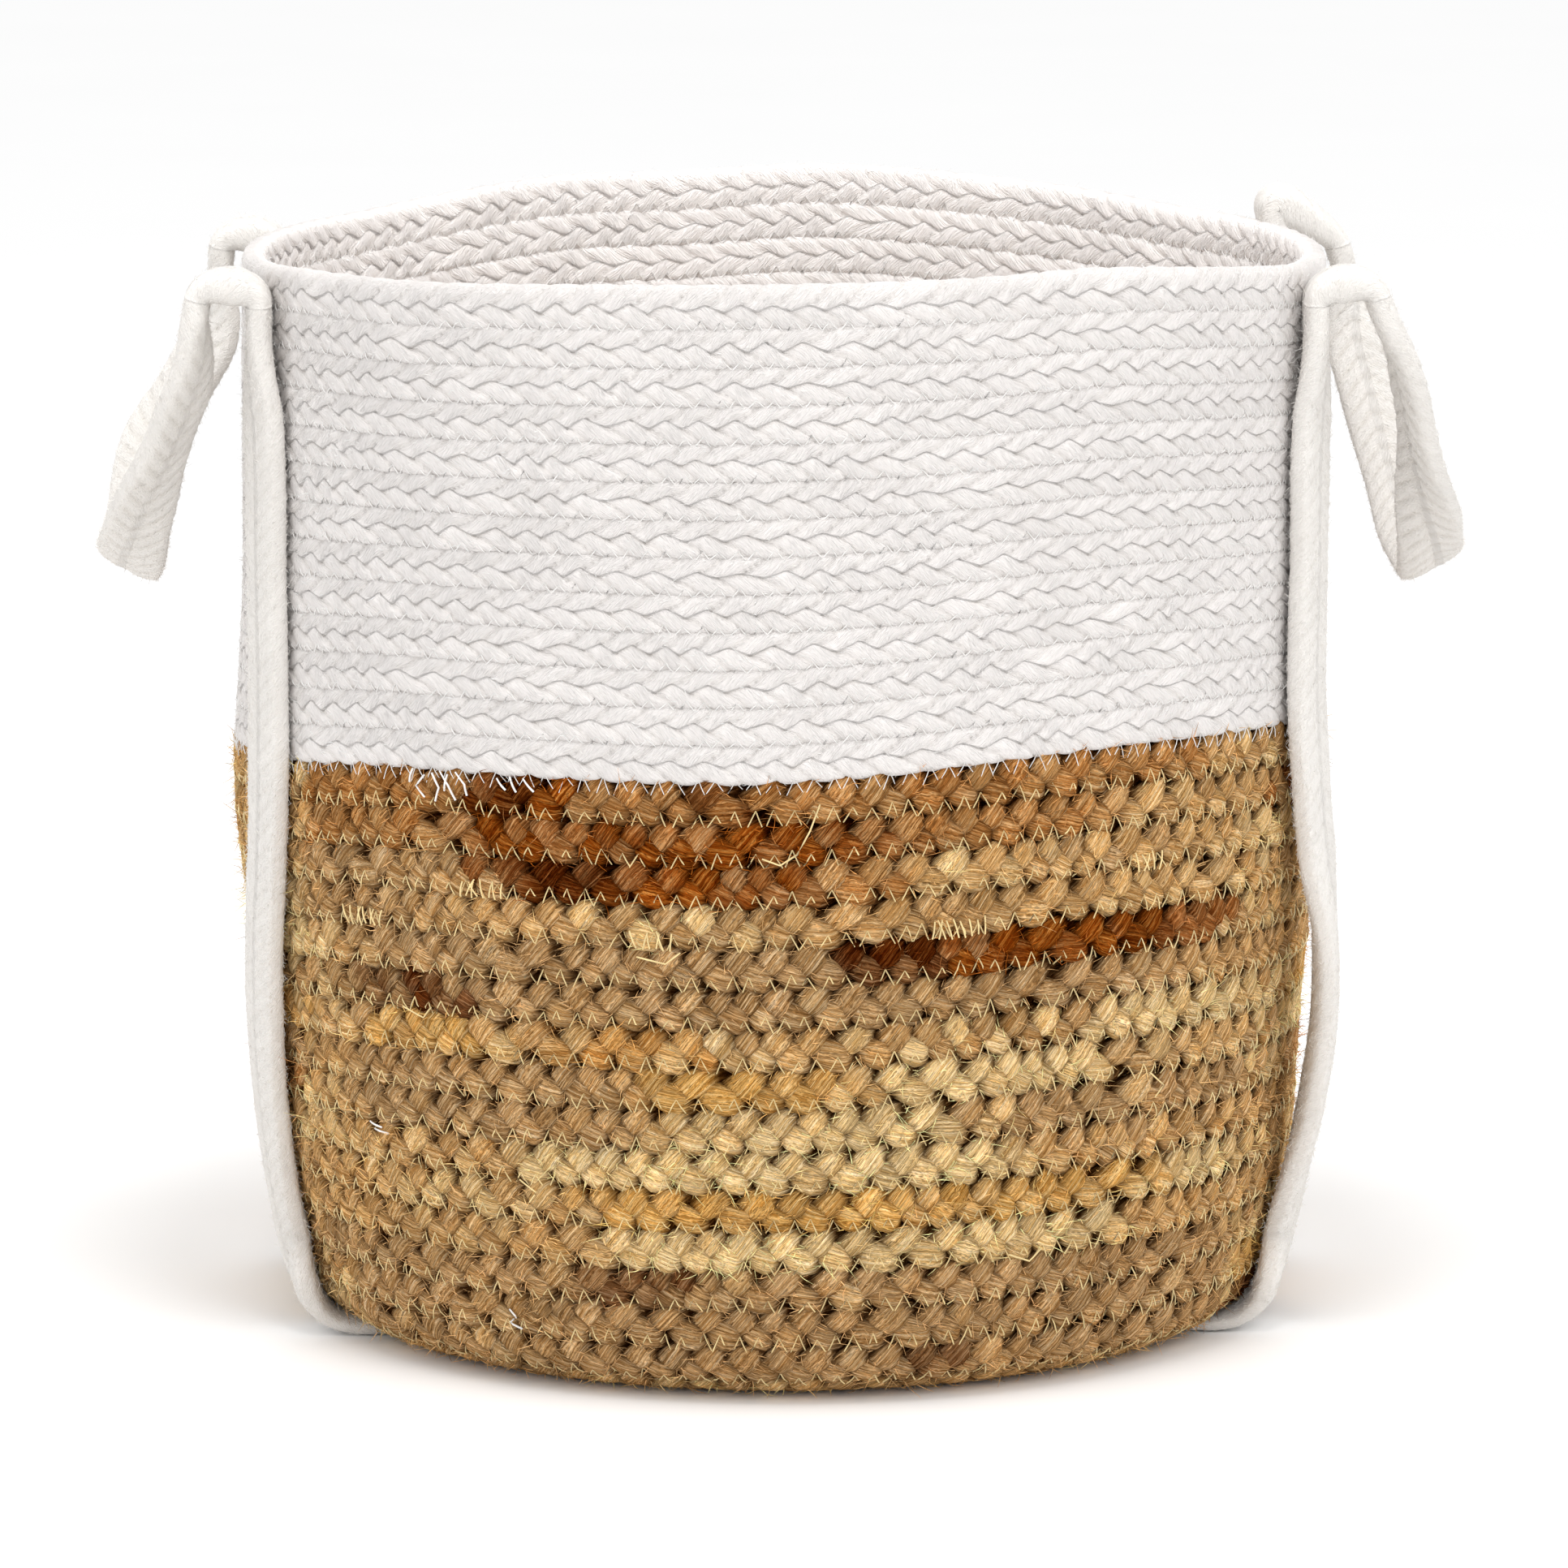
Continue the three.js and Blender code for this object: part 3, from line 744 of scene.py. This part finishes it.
def loose_threads():
    """Loose ends of thread, and the short runs of dense stitches."""
    rng = np.random.default_rng(21)
    dense = []
    for start, end, length in DOUBLE_SEWN:
        for degrees in np.arange(start, end, 0.7) + rng.uniform(-0.3, 0.3):
            lean = rng.uniform(-1.1, 1.1)
            dense.append([(degrees + lean, length + rng.uniform(4.5, 6)),
                          (degrees, length - rng.uniform(0.3, 1.2))])
    for name, ends, material, radius in (("yellow_ends", YELLOW_ENDS + dense, YELLOW_THREAD, 0.3),
                                         ("white_ends", WHITE_ENDS, WHITE_THREAD, 0.38)):
        lines = []
        for end in ends:
            degrees, length = np.array(end, float).T
            knots = np.arange(len(degrees))
            share = np.linspace(0, knots[-1], END_POINTS)
            angle = np.radians(np.interp(share, knots, degrees)) + FRONT
            off = END_OFF + 0.5 * np.sin(np.linspace(0, math.pi, END_POINTS))
            lines.append(place(angle, np.interp(share, knots, length), off))
        thread_piece(name, lines, radius, 4, material)


# ---- loose fibres

def hairs(name, sampled, rng, length, radius, kind, lighter):
    """Tapered loose fibres from roots on a surface. They lean along the strand and curl."""
    roots, outward, along, tones = sampled
    count = len(roots)
    size = rng.uniform(*length, count)[:, None] * rng.uniform(0.5, 1.0, (count, 1))
    sideways = np.cross(outward, along)
    rise = rng.uniform(0.25, 0.9, (count, 1))
    lean = rng.choice([-1.0, 1.0], (count, 1)) * np.sqrt(1 - rise**2 * 0.6)
    way = unit(outward * rise + along * lean + sideways * rng.normal(0, 0.45, (count, 1)))
    curl = unit(rng.normal(0, 1, (count, 3))) * rng.uniform(0.1, 0.45, (count, 1))
    lines = np.stack([roots + way * size * t + curl * size * t**2 for t in (0.0, 0.4, 1.0)], 1)
    width = radius * np.array([1.0, 0.85, 0.25])[None] * rng.uniform(0.7, 1.2, (count, 1))
    lines[..., 2] = np.maximum(lines[..., 2], 0.4)
    tints = np.repeat(np.minimum(tones * lighter, 0.95), 9, 0)
    material = JUTE_HAIR if kind == "jute_braid" else COTTON_HAIR
    piece = make_piece(name, *tubes(lines, width, 3), material, tints)
    return piece


def surface_samples(blocks, tones, count, rng, allowed=None):
    """Random points of point grids, with the ways out and along the strand, and the strand's colour."""
    if allowed is None:
        allowed = [np.ones(block.shape[:2], bool) for block in blocks]
    found = []
    for block, tone, mask in zip(blocks, tones, allowed):
        i, j = np.nonzero(mask[1:-1])
        i = i + 1
        along = unit(block[i + 1, j] - block[i - 1, j])
        colour = np.broadcast_to(tone, block.shape)[i, j]
        found.append(np.concatenate([block[i, j], unit(block[i, j] - block[i].mean(1)), along, colour], 1))
    found = np.concatenate(found)
    return np.split(found[rng.choice(len(found), count, replace=False)], 4, 1)


CROWN_FROM = 2.4  # how far out of the wall's middle the fibres begin


def fuzz_on_wall(name, some_courses, sign, total, *look):
    """Loose fibres on the outer or inner crowns of a run of courses."""
    rng = np.random.default_rng(len(name) + total)
    blocks, outs, tones = (sum((course[k] for course in some_courses), []) for k in (2, 3, 4))
    sampled = surface_samples(blocks, tones, total, rng, [sign * out > CROWN_FROM for out in outs])
    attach(hairs(name, sampled, rng, *look), "basket")


# ---- straps

def strap_on_wall(height, stand_off):
    """The middle of a strap that lies on the wall, on the left side at the front."""
    y = STRAP_FOOT_Y + (STRAP_RIM_Y - STRAP_FOOT_Y) * float(smoothstep(height, 20, 220))
    angle = math.pi + math.asin(y / (WALL_RADIUS + BRAID_THICKNESS))
    level = height + float(sag_at(height, angle))
    radius = float(along_section(level - CORNER_HEIGHT + math.pi / 2 * CORNER_RADIUS)[0])
    radius += HALF + STRAP_GAP + STRAP_THICKNESS / 2 + stand_off
    radius *= 1 + SQUARENESS * min(level / WALL_LENGTH, 1) * (1 - math.cos(4 * angle)) / 2
    return radius * math.cos(angle), radius * math.sin(angle), height


STRAP_STEP = 0.8


def even_route(points):
    """Evenly spaced points and their directions along a smooth curve through points."""
    dense = spline_points(points, 40, 0.5)
    gone = lengths_along(dense)
    where = np.linspace(0, gone[-1], round(gone[-1] / STRAP_STEP) + 1)
    line = np.stack([np.interp(where, gone, dense[:, k]) for k in range(3)], -1)
    return line, unit(np.gradient(line, axis=0)), where


RIM_PULL = 4.0  # how much nearer the wall a strap is at its fold than in the CAD
FOLD_SWELLING = 4.0  # the extra thickness where a strap is folded tight
RIGHT_REAR_FOLD = (11.0, 6.5)  # how far the right rear fold lies back over the rim, and its swelling
EDGE_ON = (40, 85, 140, 185)  # the heights between which the right front strap turns, and turns back
LOOP_TWIST = math.radians(102)  # how far a handle is turned out of its flat lie at its lowest point
HANGING = np.array([-math.sin(HANG_ANGLE), 0, -math.cos(HANG_ANGLE)])


def wall_run(bow, edge_on=0.0):
    """Middles, outward normals, directions and thickness of the strap from the base to the fold.

    bow is how far it stands off the wall, and edge_on is how far it turns its edge to the wall there."""
    floor = STRAP_PRESSED / 2
    low = [(150, floor), (158.5, floor + 0.1), (167, 5.4), (173.4, 11.5), (177.2, 20.5)]
    route = [(-x, -STRAP_FOOT_Y, z) for x, z in low]
    for height in (36, 60, 85, 115, 150, 190, 240, 290, 330):
        share = np.clip((height - CORNER_HEIGHT) / (240 - CORNER_HEIGHT), 0, 1)
        route.append(strap_on_wall(height, bow * math.sin(math.pi * share) ** 2))
    top_x = FOLD_RADIUS - FOLD_X + RIM_PULL
    route += [(top_x, -STRAP_RIM_Y, FOLD_HEIGHT - 22), (top_x, -STRAP_RIM_Y, FOLD_HEIGHT)]
    line, forward, where = even_route(route)
    height = line[:, 2]
    flat = np.stack([-forward[:, 2], 0 * where, forward[:, 0]], -1)
    radial = unit(line * np.array([1.0, 1.0, 0.0]))
    leaving = 1 - smoothstep(height, FOLD_HEIGHT - 45, FOLD_HEIGHT - 3)
    away = edge_on * smoothstep(height, *EDGE_ON[:2]) * (1 - smoothstep(height, *EDGE_ON[2:]))
    facing = (smoothstep(height, 5, 45) * leaving * (1 - away))[:, None]
    forward[-1] = [0, 0, 1]
    thick = STRAP_PRESSED + (STRAP_THICKNESS - STRAP_PRESSED) * smoothstep(height, floor, 16)
    return line, flat * (1 - facing) + radial * facing, forward, thick


def under_run():
    count = round(300 / STRAP_STEP)
    x = np.linspace(-150, 150, count)
    line = np.stack([x, 0 * x - STRAP_FOOT_Y, 0 * x + STRAP_PRESSED / 2], -1)
    forward = np.tile([1.0, 0.0, 0.0], (count, 1))
    outward = np.tile([0.0, 0.0, -1.0], (count, 1))
    return line, outward, forward, np.full(count, STRAP_PRESSED)


def fold_run(over_rim=0.0, swelling=FOLD_SWELLING):
    """The tight fold at the rim. It lies back over the rim by over_rim, and rises about as far.

    swelling is the extra thickness at its top."""
    angle = np.linspace(0, math.pi - HANG_ANGLE, 40)
    outward = np.stack([np.cos(angle), 0 * angle, np.sin(angle)], -1)
    swollen = swelling * np.sin(np.pi * angle / angle[-1]) ** 2
    line = outward * (FOLD_RADIUS - swollen / 2)[:, None] + np.array([-FOLD_X, -STRAP_RIM_Y, FOLD_HEIGHT])
    line[:, 0] += RIM_PULL * (np.cos(angle) - np.cos(angle[-1])) / (1 - np.cos(angle[-1]))
    rise = over_rim * np.sin(np.pi * (angle / angle[-1]) ** 0.85) ** 2
    line += rise[:, None] * np.array([0.9, 0.0, 1.08])
    forward = unit(np.gradient(line, axis=0))
    outward = unit(outward - forward * (outward * forward).sum(1)[:, None])
    forward[0] = [0, 0, 1]
    forward[-1] = HANGING
    return line, outward, forward, STRAP_THICKNESS + swollen


def turned(gone, soon):
    """The share of its turn a leg has made when gone of the loop lies behind it, soon of it at once."""
    return soon * smoothstep(gone, 0.01, 0.14) + (1 - soon) * smoothstep(gone, 0.16, 0.46)


# The way of a handle's two legs from their folds to the bottom of the loop: shares of the drop, shares of
# the distance between the folds, and millimetres outward for the first and the second leg of each side.
LOOP_DOWN = (0, 0.08, 0.2, 0.32, 0.48, 0.64, 0.8, 0.94)
LOOP_WIDE = (1, 1, 0.97, 0.92, 0.83, 0.71, 0.54, 0.29)
LOOP_OUT = {
    "left": [(0, -1, -4, -4.5, -3, -1, 0, 0), (0, -2, -5, -5, -1, 4, 4, 1)],
    "right": [(0, 0, -1, -2, -2.5, -3, -4, -4.5), (0, 1, 3, 3, 2, 0.5, -1, -2.5)],
}
LOOP_BOTTOM_OUT = {"left": 0.0, "right": -3.0}
TURNED_SOON = {"left": (0.32, 0.5), "right": (0.8, 0.12)}


def handle_run(side):
    """From the first fold down, round the narrow turn and up to the second, as it would lie on the left.

    Each leg turns from facing outward to facing the other leg, some of it soon after the fold."""
    away = HANGING
    outward = np.array([-math.cos(HANG_ANGLE), 0, math.sin(HANG_ANGLE)])
    start = np.array([-FOLD_X, 0, FOLD_HEIGHT]) + outward * FOLD_RADIUS
    legs = []
    for way, outs in zip((-1, 1), LOOP_OUT[side]):
        legs.append([start + away * HANDLE_DROP * down + outward * out
                     + np.array([0, way * STRAP_RIM_Y * wide, 0])
                     for down, wide, out in zip(LOOP_DOWN, LOOP_WIDE, outs)])
    bottom = start + away * HANDLE_DROP + outward * LOOP_BOTTOM_OUT[side]
    line, forward, where = even_route(legs[0] + [bottom] + legs[1][::-1])
    forward[0], forward[-1] = away, -away
    share = where / where[-1]
    soon = TURNED_SOON[side]
    twist = (LOOP_TWIST * np.where(share < 0.5, turned(share, soon[0]), turned(1 - share, soon[1])))[:, None]
    inside = unit(np.cross(forward, outward))
    return line, outward * np.cos(twist) + inside * np.sin(twist), forward, np.full(len(where), STRAP_THICKNESS)


def mirrored(run, x, y):
    """A run on another side. The normals and directions turn over with it."""
    line, outward, forward, thick = run
    flip = np.array([x, y, 1.0])
    return line * flip, outward * flip, forward * flip, thick


def reversed_run(run):
    line, outward, forward, thick = run
    return line[::-1], outward[::-1], -forward[::-1], thick[::-1]


# The straps' herringbone: the distance and slope of its ribs, how much of it shows where it is worn, the
# places across the strap between which its face ends, and the depths of its middle line and roughness.
RIB_SPACING = 7.6
RIB_SLOPE = 0.85
PLAIN_RIBS = 0.45
FACE_END = (8.5, 11.5)
MIDDLE_DEPTH = 0.4
STRAP_ROUGHNESS = 0.2
STRAP_FULLNESS = (0.72, 0.62)
FUZZ_DENSITY = 12  # loose fibres for every step along a strap
FOLD_FUZZ = 0.35  # the folds' share of that


def strap_surface(run, gone, ribbed):
    """Points, tints with painted shade in the grooves, and fibre places of a flat herringbone braid along a
    run.

    gone is the length of strap before it, and ribbed is how much of the herringbone shows on each ring."""
    line, outward, forward, thick = run
    outward = unit(outward - forward * (outward * forward).sum(1)[:, None])
    across = np.cross(outward, forward)
    turn = round_turn(40)
    c, s = full_section(turn, STRAP_FULLNESS)
    # The length round the section from the middle of the outer face, the same on both edges.
    nominal = np.stack([STRAP_WIDTH / 2 * c, STRAP_THICKNESS / 2 * s], -1)
    step = np.linalg.norm(np.roll(nominal, -1, 0) - nominal, axis=1)
    round_length = np.concatenate([[0], np.cumsum(step)[:-1]])
    whole = step.sum()
    from_face = np.abs((round_length - whole / 4 + whole / 2) % whole - whole / 2)
    right_half = np.cos(turn) > 0
    travelled = gone + lengths_along(line)
    phase = (travelled[:, None] - RIB_SLOPE * from_face[None]) / RIB_SPACING + 0.5 * right_half[None]
    pillow = 1 - np.abs(2 * fraction(phase) - 1) ** 4
    centre = np.exp(-((c * STRAP_WIDTH / 2) / 1.5) ** 2)
    rough = scattered(np.floor(phase) * 12.9898 + 78.233 * right_half) - 0.5
    on_face = 1 - smoothstep(np.abs(c) * STRAP_WIDTH / 2, *FACE_END)
    relief = ribbed * ((0.3 + 0.7 * on_face) * (pillow - 1) - MIDDLE_DEPTH * centre) + STRAP_ROUGHNESS * rough
    wobble = 0.35 * np.sin(travelled / 17.0)[:, None] + 0.25 * np.sin(travelled / 7.3 + 1.0)[:, None]
    half_width = STRAP_WIDTH / 2 + 0.5 + wobble
    half_thick = thick[:, None] / 2 + 0.3
    squeeze = (thick / STRAP_THICKNESS)[:, None]
    x = half_width * c + relief * np.cos(turn) * squeeze
    y = half_thick * s + relief * np.sin(turn) * squeeze
    points = line[:, None] + across[:, None] * x[..., None] + outward[:, None] * y[..., None]
    points[..., 2] = np.maximum(points[..., 2], 0)
    # Painted shade in the herringbone's grooves, deeper on the face, and along its middle line.
    dark = (ribbed * ((1 - pillow) * (0.25 + 0.55 * on_face) + 0.12 * centre))[..., None]
    tone = STRAP_WHITE * (1 + 0.03 * rough)[..., None]
    lean = travelled[:, None] + from_face[None] * RIB_SLOPE
    fibre = np.stack([lean, phase * RIB_SPACING, np.broadcast_to(from_face[None] * 0.4, phase.shape)], -1)
    return points, shaded(tone, COTTON_SHADE, dark), fibre, tone, travelled[-1]


def ribs_on_handle(count):
    """How much of the herringbone shows on each ring: it is worn plain on the wall and clear on the handles."""
    share = np.linspace(0, 1, count)[:, None]
    return PLAIN_RIBS + (1 - PLAIN_RIBS) * smoothstep(np.minimum(share, 1 - share), 0, 0.12)


def strap_piece(name, run, gone, ribbed, node):
    points, tints, fibre, tone, end = strap_surface(run, gone, ribbed)
    rings, sides = points.shape[:2]
    start_cap = np.arange(sides)[::-1][None]
    end_cap = (np.arange(sides) + (rings - 1) * sides)[None]
    faces = [grid_faces(rings, sides), start_cap, end_cap]
    piece = make_piece(name, points, faces, STRAP_FABRIC, tints, fibre)
    corner, first = points[0, 0], points[0]
    if np.cross(first[1] - corner, points[1, 0] - corner) @ (corner - first.mean(0)) > 0:
        piece.data.flip_normals()
    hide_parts(node)
    return piece, points, tone, end


def straps():
    """Every stretch of the strap in the order in which it runs round the basket."""
    gone = 0.0
    rng = np.random.default_rng(77)
    ends = {"front": 1, "rear": -1}
    for side, x, first, second in (("left", 1, "front", "rear"), ("right", -1, "rear", "front")):
        right = side == "right"
        up = mirrored(wall_run(BOW[f"{side}_{first}"]), x, ends[first])
        over = mirrored(fold_run(*RIGHT_REAR_FOLD) if right else fold_run(), x, ends[first])
        loop = mirrored(handle_run(side), x, ends[first])
        back = reversed_run(mirrored(fold_run(), x, ends[second]))
        down = wall_run(BOW[f"{side}_{second}"], 1.0 if right else 0.0)
        down = reversed_run(mirrored(down, x, ends[second]))
        below = mirrored(under_run(), x, ends[second])
        for run, name, node, where, way in (
                (up, "strap", "wall_strap", f"{side}_{first}", "ride"),
                (over, "fold", "strap_fold", f"{side}_{first}", "blend"),
                (loop, "loop", "handle", side, "handle"),
                (back, "fold", "strap_fold", f"{side}_{second}", "blend"),
                (down, "strap", "wall_strap", f"{side}_{second}", "ride"),
                (below, "strap_under", "under_strap", second, "ride")):
            ribbed = ribs_on_handle(len(run[0])) if way == "handle" else PLAIN_RIBS
            piece, points, tone, gone = strap_piece(f"{name}_{where}", run, gone, ribbed, f"{node}_{where}")
            count = round(FUZZ_DENSITY * len(points) * (FOLD_FUZZ if way == "blend" else 1.0))
            sampled = surface_samples([points], [tone], count, rng)
            fuzz = hairs(f"{name}_{where}_fuzz", sampled, rng, (1.0, 3.0), 0.11, "cotton_strap", 1.06)
            for part in (piece, fuzz):
                if way == "blend":
                    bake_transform(part)
                else:
                    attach(part, f"handle_{side}" if way == "handle" else "basket")


# ---- studio

CAMERA_DISTANCE = 3.0
CAMERA_HEIGHT = 0.724
CAMERA_TURN = math.radians(1.0)
CAMERA_TILT = math.radians(10.07)
CAMERA_LENS = 188.8
FLOOR_HEIGHT = -0.0002


def area_light(name, place_at, size, power):
    data = bpy.data.lights.new(name, "AREA")
    data.size = size
    data.energy = power
    light = add_object(name, data)
    light.location = place_at
    light.rotation_euler = (Vector((0, 0, 0.2)) - Vector(place_at)).to_track_quat("-Z", "Y").to_euler()


def studio():
    """A plain pale floor, soft light all round, and a long lens about three metres away."""
    world = bpy.data.worlds.new("studio")
    world.use_nodes = True
    background = world.node_tree.nodes["Background"].inputs
    background["Color"].default_value = (1, 1, 1, 1)
    background["Strength"].default_value = 1.0
    bpy.context.scene.world = world
    area_light("key", (1.2, -2.2, 2.6), 1.4, 14)
    area_light("fill", (-2.0, -1.8, 1.8), 2.0, 2)
    area_light("top", (0.0, -0.5, 2.2), 0.8, 19)
    bpy.ops.mesh.primitive_plane_add(size=14, location=(0, 0, FLOOR_HEIGHT))
    floor = bpy.context.object
    floor.name = "floor"
    floor.data.materials.append(speckled_material("pale_floor", (0.9,), (0.96, 0.96, 0.96), 3, 2.0, 0.004))
    data = bpy.data.cameras.new("camera")
    data.sensor_width = 36
    data.lens = CAMERA_LENS
    data.clip_end = 30
    camera = add_object("camera", data)
    camera.location = (-CAMERA_DISTANCE * math.sin(CAMERA_TURN), -CAMERA_DISTANCE * math.cos(CAMERA_TURN),
                       CAMERA_HEIGHT)
    camera.rotation_euler = (math.pi / 2 - CAMERA_TILT, 0, -CAMERA_TURN)
    bpy.context.scene.camera = camera
    bpy.context.scene.view_settings.view_transform = "Standard"


studio()
wall = courses()
base()
sewing(wall)
loose_threads()
straps()
jute_part, cotton_part = wall[:JUTE_COURSES], wall[JUTE_COURSES:]
COTTON_FUZZ = ((1.2, 3.2), 0.12, "cotton_braid", 1.05)
for run in (
        ("jute_fibres_low", jute_part[:8], 1, 13500, (3, 9), 0.16, "jute_braid", 1.45),
        ("jute_fibres_high", jute_part[8:], 1, 13500, (3, 8), 0.15, "jute_braid", 1.4),
        ("cotton_fuzz_low", cotton_part[:7], 1, 13500, *COTTON_FUZZ),
        ("cotton_fuzz_high", cotton_part[7:], 1, 12500, *COTTON_FUZZ),
        ("cotton_fuzz_inside", cotton_part[-6:], -1, 9000, *COTTON_FUZZ)):
    fuzz_on_wall(*run)
